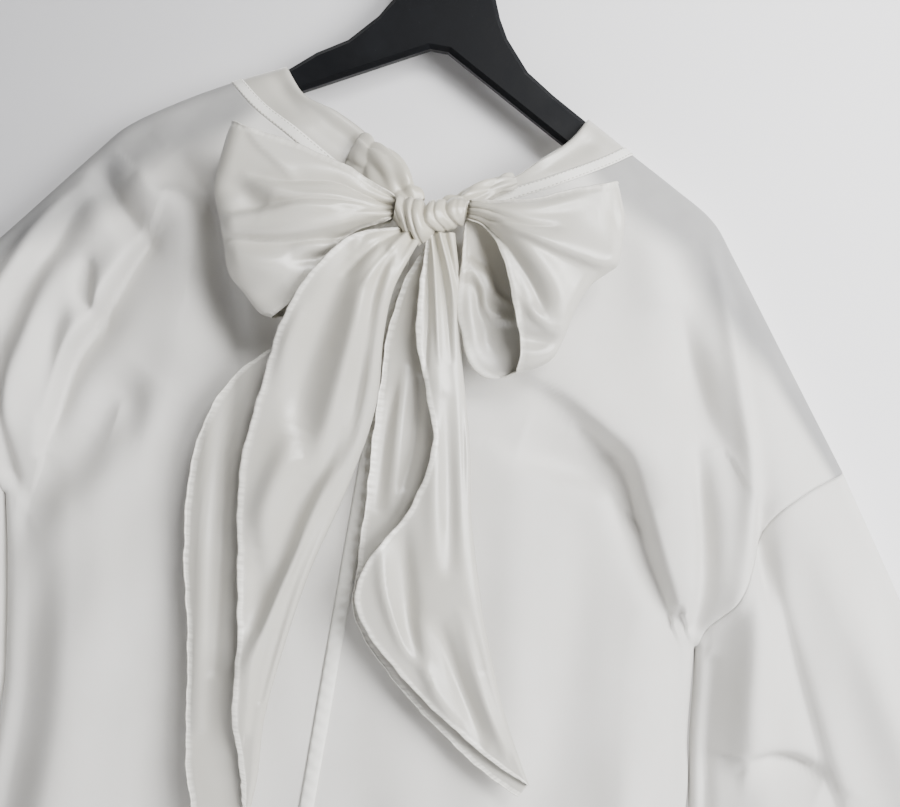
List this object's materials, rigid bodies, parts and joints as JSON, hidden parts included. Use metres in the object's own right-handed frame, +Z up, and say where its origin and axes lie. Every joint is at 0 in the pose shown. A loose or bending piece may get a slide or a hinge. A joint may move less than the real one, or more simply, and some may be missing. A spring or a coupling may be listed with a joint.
{
  "type": "long-sleeve t-shirt with back bow on a hanger",
  "caption": "Oversized long-sleeve cotton top with a satin neckband tied in a bow at the back, hanging on a flat hanger.",
  "frame": {"origin": "inside top of the hanger's hook, where the hanger is held", "axes": "+Z up; +X to the right as seen from behind the garment; the back of the garment faces -Y"},
  "size_m": [1.056, 0.1019, 0.7875],
  "materials": {
    "cotton": "matt, smooth ivory cotton",
    "satin": "ivory satin with a soft sheen",
    "hanger": "black, semi-matt",
    "hook": "blackened steel wire"
  },
  "bodies": {
    "root": {"back_left": "cotton", "back_right": "cotton", "back_facing": "cotton", "front": "cotton", "sleeve_left": "cotton", "sleeve_right": "cotton", "binding_back_left": "cotton", "binding_back_right": "cotton", "binding_front": "cotton", "band_back_left": "satin", "band_back_right": "satin", "band_front": "satin", "tie_left": "satin", "tie_right": "satin", "knot": "satin", "loop_left": "satin", "loop_right": "satin", "tail_left": "satin", "tail_right": "satin", "hanger_body": "hanger", "hanger_hook": "hook"}
  },
  "joints": []
}
